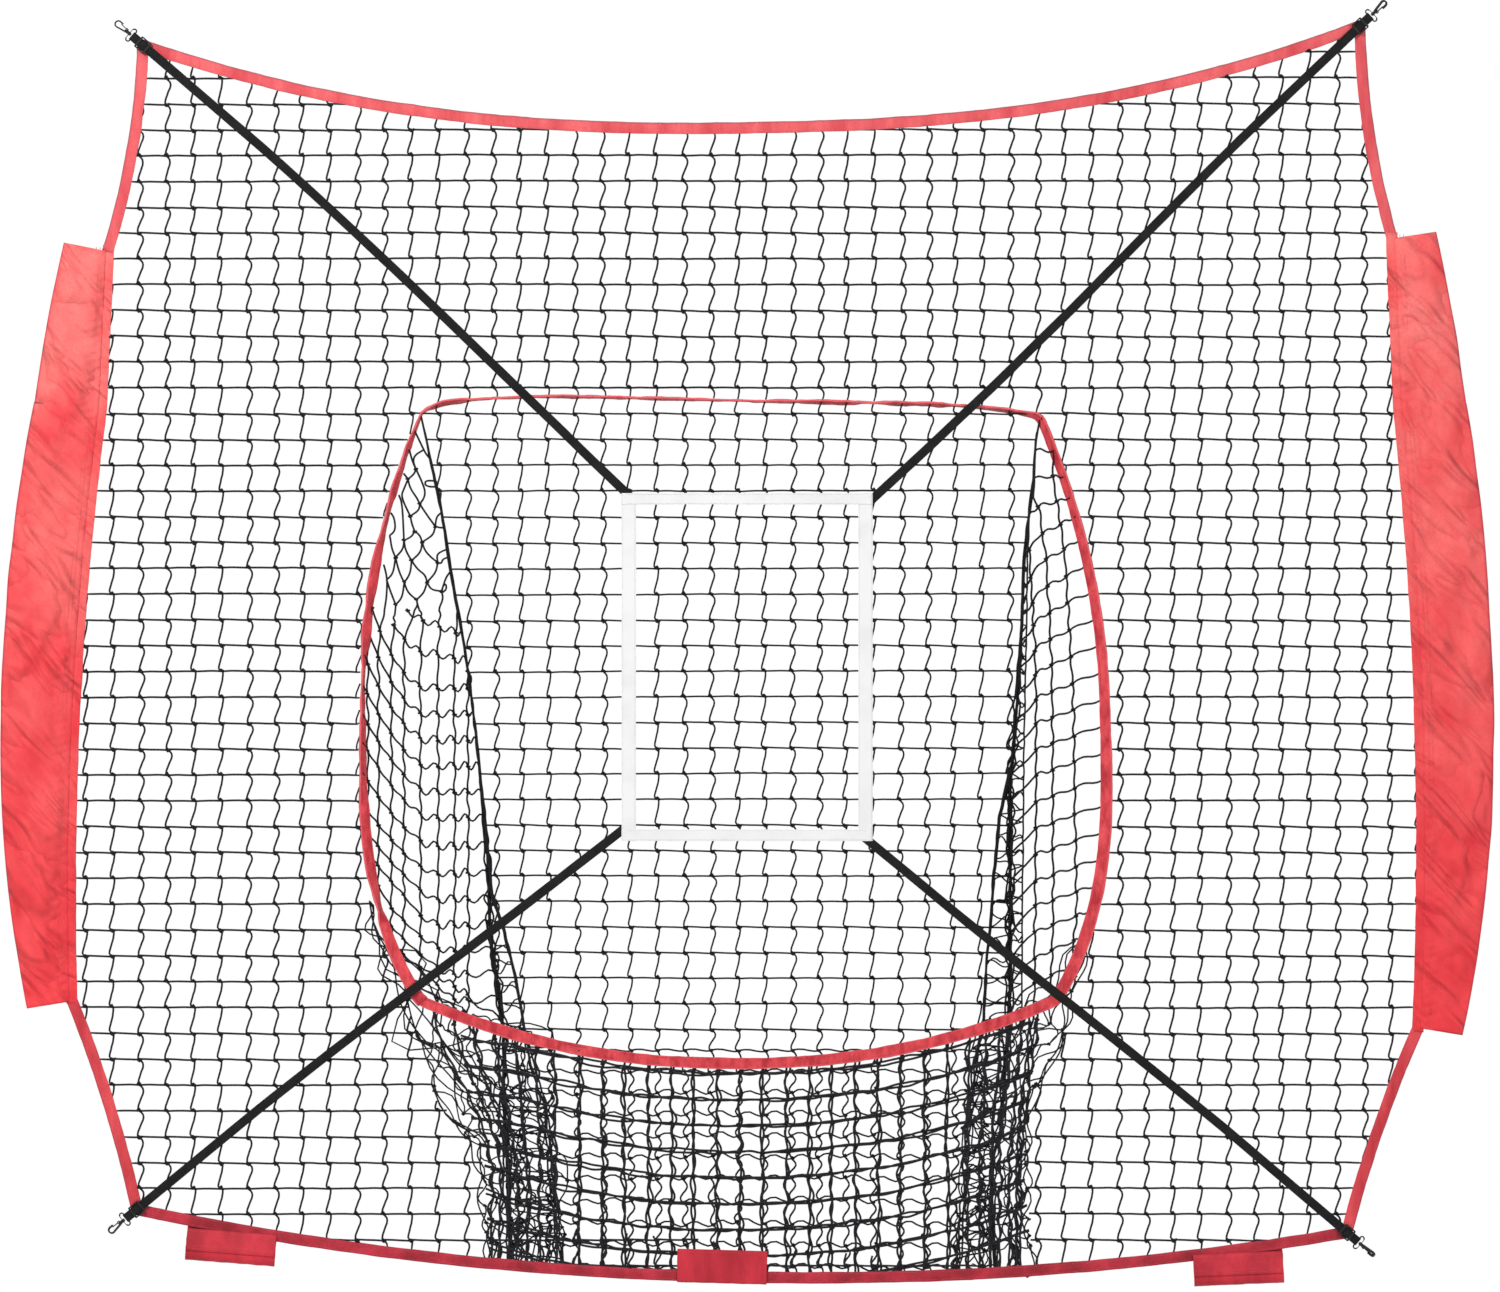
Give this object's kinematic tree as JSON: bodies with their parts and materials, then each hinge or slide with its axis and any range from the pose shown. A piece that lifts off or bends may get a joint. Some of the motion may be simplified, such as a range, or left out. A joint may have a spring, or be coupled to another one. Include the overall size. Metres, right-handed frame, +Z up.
{
  "type": "pitching target net",
  "caption": "Knotted practice net with red hems, side sleeves, a ball pocket and a white strike zone on straps, hooked at its corners.",
  "frame": {"origin": "middle of the bottom hem, where the base tube of a stand lies, in the plane of the net", "axes": "+X across the net to the thrower's right, +Y away from the thrower into the pocket, +Z up"},
  "size_m": [2.5809, 0.3521, 2.2227],
  "materials": {
    "netting": "knotted black twine",
    "hem_tape": "red polyester tape, stitched",
    "sleeve_cloth": "red polyester cloth",
    "tab_cloth": "red polyester cloth",
    "zone_strip": "white coated tape",
    "webbing": "black webbing",
    "hardware": "black moulded plastic",
    "pin_steel": "blackened steel"
  },
  "bodies": {
    "root": {"front_net_top": "netting", "front_net_left": "netting", "front_net_right": "netting", "front_net_apron": "netting", "pocket_back_net": "netting", "pocket_left_net": "netting", "pocket_right_net": "netting", "rim_top": "hem_tape", "rim_left": "hem_tape", "rim_right": "hem_tape", "rim_bottom": "hem_tape", "top_hem": "hem_tape", "left_hem_upper": "hem_tape", "left_hem_lower": "hem_tape", "right_hem_upper": "hem_tape", "right_hem_lower": "hem_tape", "bottom_hem": "hem_tape", "left_sleeve_seam": "hem_tape", "right_sleeve_seam": "hem_tape", "left_sleeve": "sleeve_cloth", "right_sleeve": "sleeve_cloth", "zone_strip_top": "zone_strip", "zone_strip_bottom": "zone_strip", "zone_strip_left": "zone_strip", "zone_strip_right": "zone_strip", "strap_top_left": "webbing", "strap_top_right": "webbing", "strap_bottom_left": "webbing", "strap_bottom_right": "webbing", "tab_left": "tab_cloth", "tab_right": "tab_cloth"},
    "slider_top_left": {"slider_top_left": "hardware"},
    "hook_base_top_left": {"hook_base_top_left": "hardware"},
    "hook_top_left": {"hook_top_left": "hardware", "gate_pin_top_left": "pin_steel"},
    "gate_top_left": {"gate_top_left": "hardware"},
    "slider_top_right": {"slider_top_right": "hardware"},
    "hook_base_top_right": {"hook_base_top_right": "hardware"},
    "hook_top_right": {"hook_top_right": "hardware", "gate_pin_top_right": "pin_steel"},
    "gate_top_right": {"gate_top_right": "hardware"},
    "slider_bottom_left": {"slider_bottom_left": "hardware"},
    "hook_base_bottom_left": {"hook_base_bottom_left": "hardware"},
    "hook_bottom_left": {"hook_bottom_left": "hardware", "gate_pin_bottom_left": "pin_steel"},
    "gate_bottom_left": {"gate_bottom_left": "hardware"},
    "slider_bottom_right": {"slider_bottom_right": "hardware"},
    "hook_base_bottom_right": {"hook_base_bottom_right": "hardware"},
    "hook_bottom_right": {"hook_bottom_right": "hardware", "gate_pin_bottom_right": "pin_steel"},
    "gate_bottom_right": {"gate_bottom_right": "hardware"},
    "tab_left_flap": {"tab_left_flap": "tab_cloth"},
    "tab_right_flap": {"tab_right_flap": "tab_cloth"},
    "tab_middle": {"tab_middle": "tab_cloth"}
  },
  "joints": [
    {"name": "slider_shift_top_left", "type": "slide", "parent": "root", "child": "slider_top_left", "axis": [0.7583, 0, -0.6519], "range_m": [-0.008, 0.25]},
    {"name": "hook_base_swing_top_left", "type": "hinge", "parent": "root", "child": "hook_base_top_left", "pos_m": [-1.06644, -0.00465, 2.1435], "axis": [-0.6519, 0, -0.7583], "range_deg": [-75, 75]},
    {"name": "hook_swivel_top_left", "type": "hinge", "parent": "hook_base_top_left", "child": "hook_top_left", "pos_m": [-1.07455, -0.00465, 2.15047], "axis": [-0.7583, 0, 0.6519], "continuous": true},
    {"name": "gate_open_top_left", "type": "hinge", "parent": "hook_top_left", "child": "gate_top_left", "pos_m": [-1.07636, -0.00465, 2.15558], "axis": [0, -1, 0], "range_deg": [0, 15], "stiffness_Nm_per_rad": 0.002, "springref_deg": -11.46},
    {"name": "slider_shift_top_right", "type": "slide", "parent": "root", "child": "slider_top_right", "axis": [-0.7253, 0, -0.6884], "range_m": [-0.008, 0.25]},
    {"name": "hook_base_swing_top_right", "type": "hinge", "parent": "root", "child": "hook_base_top_right", "pos_m": [1.07068, -0.00465, 2.17733], "axis": [-0.6884, 0, 0.7253], "range_deg": [-75, 75]},
    {"name": "hook_swivel_top_right", "type": "hinge", "parent": "hook_base_top_right", "child": "hook_top_right", "pos_m": [1.07844, -0.00465, 2.1847], "axis": [0.7253, 0, 0.6884], "continuous": true},
    {"name": "gate_open_top_right", "type": "hinge", "parent": "hook_top_right", "child": "gate_top_right", "pos_m": [1.08337, -0.0031, 2.18633], "axis": [0.3949, -0.8192, -0.416], "range_deg": [0, 15], "stiffness_Nm_per_rad": 0.002, "springref_deg": -11.46},
    {"name": "slider_shift_bottom_left", "type": "slide", "parent": "root", "child": "slider_bottom_left", "axis": [0.7723, 0, 0.6353], "range_m": [-0.008, 0.25]},
    {"name": "hook_base_swing_bottom_left", "type": "hinge", "parent": "root", "child": "hook_base_bottom_left", "pos_m": [-1.07726, -0.00465, 0.10239], "axis": [0.6353, 0, -0.7723], "range_deg": [-75, 75]},
    {"name": "hook_swivel_bottom_left", "type": "hinge", "parent": "hook_base_bottom_left", "child": "hook_bottom_left", "pos_m": [-1.08553, -0.00465, 0.09559], "axis": [-0.7723, 0, -0.6353], "continuous": true},
    {"name": "gate_open_bottom_left", "type": "hinge", "parent": "hook_bottom_left", "child": "gate_bottom_left", "pos_m": [-1.09077, -0.00373, 0.09457], "axis": [-0.2173, -0.9397, 0.2641], "range_deg": [0, 15], "stiffness_Nm_per_rad": 0.002, "springref_deg": -11.46},
    {"name": "slider_shift_bottom_right", "type": "slide", "parent": "root", "child": "slider_bottom_right", "axis": [-0.7617, 0, 0.648], "range_m": [-0.008, 0.25]},
    {"name": "hook_base_swing_bottom_right", "type": "hinge", "parent": "root", "child": "hook_base_bottom_right", "pos_m": [1.04902, -0.00465, 0.0621], "axis": [0.648, 0, 0.7617], "range_deg": [-75, 75]},
    {"name": "hook_swivel_bottom_right", "type": "hinge", "parent": "hook_base_bottom_right", "child": "hook_bottom_right", "pos_m": [1.05717, -0.00465, 0.05516], "axis": [0.7617, 0, -0.648], "continuous": true},
    {"name": "gate_open_bottom_right", "type": "hinge", "parent": "hook_bottom_right", "child": "gate_bottom_right", "pos_m": [1.05993, -0.00227, 0.05115], "axis": [-0.5721, -0.4695, -0.6725], "range_deg": [0, 15], "stiffness_Nm_per_rad": 0.002, "springref_deg": -11.46},
    {"name": "flap_open_left", "type": "hinge", "parent": "root", "child": "tab_left_flap", "pos_m": [-0.89469, -0.0028, 0.07841], "axis": [-0.9969, 0, 0.0785], "range_deg": [0, 150]},
    {"name": "flap_open_right", "type": "hinge", "parent": "root", "child": "tab_right_flap", "pos_m": [0.84283, -0.0028, 0.04173], "axis": [-0.999, 0, -0.0436], "range_deg": [0, 150]},
    {"name": "middle_tab_fold", "type": "hinge", "parent": "root", "child": "tab_middle", "pos_m": [-0.04904, -0.0029, -0.01042], "axis": [0.9996, 0, -0.0279], "range_deg": [0, 170]}
  ]
}
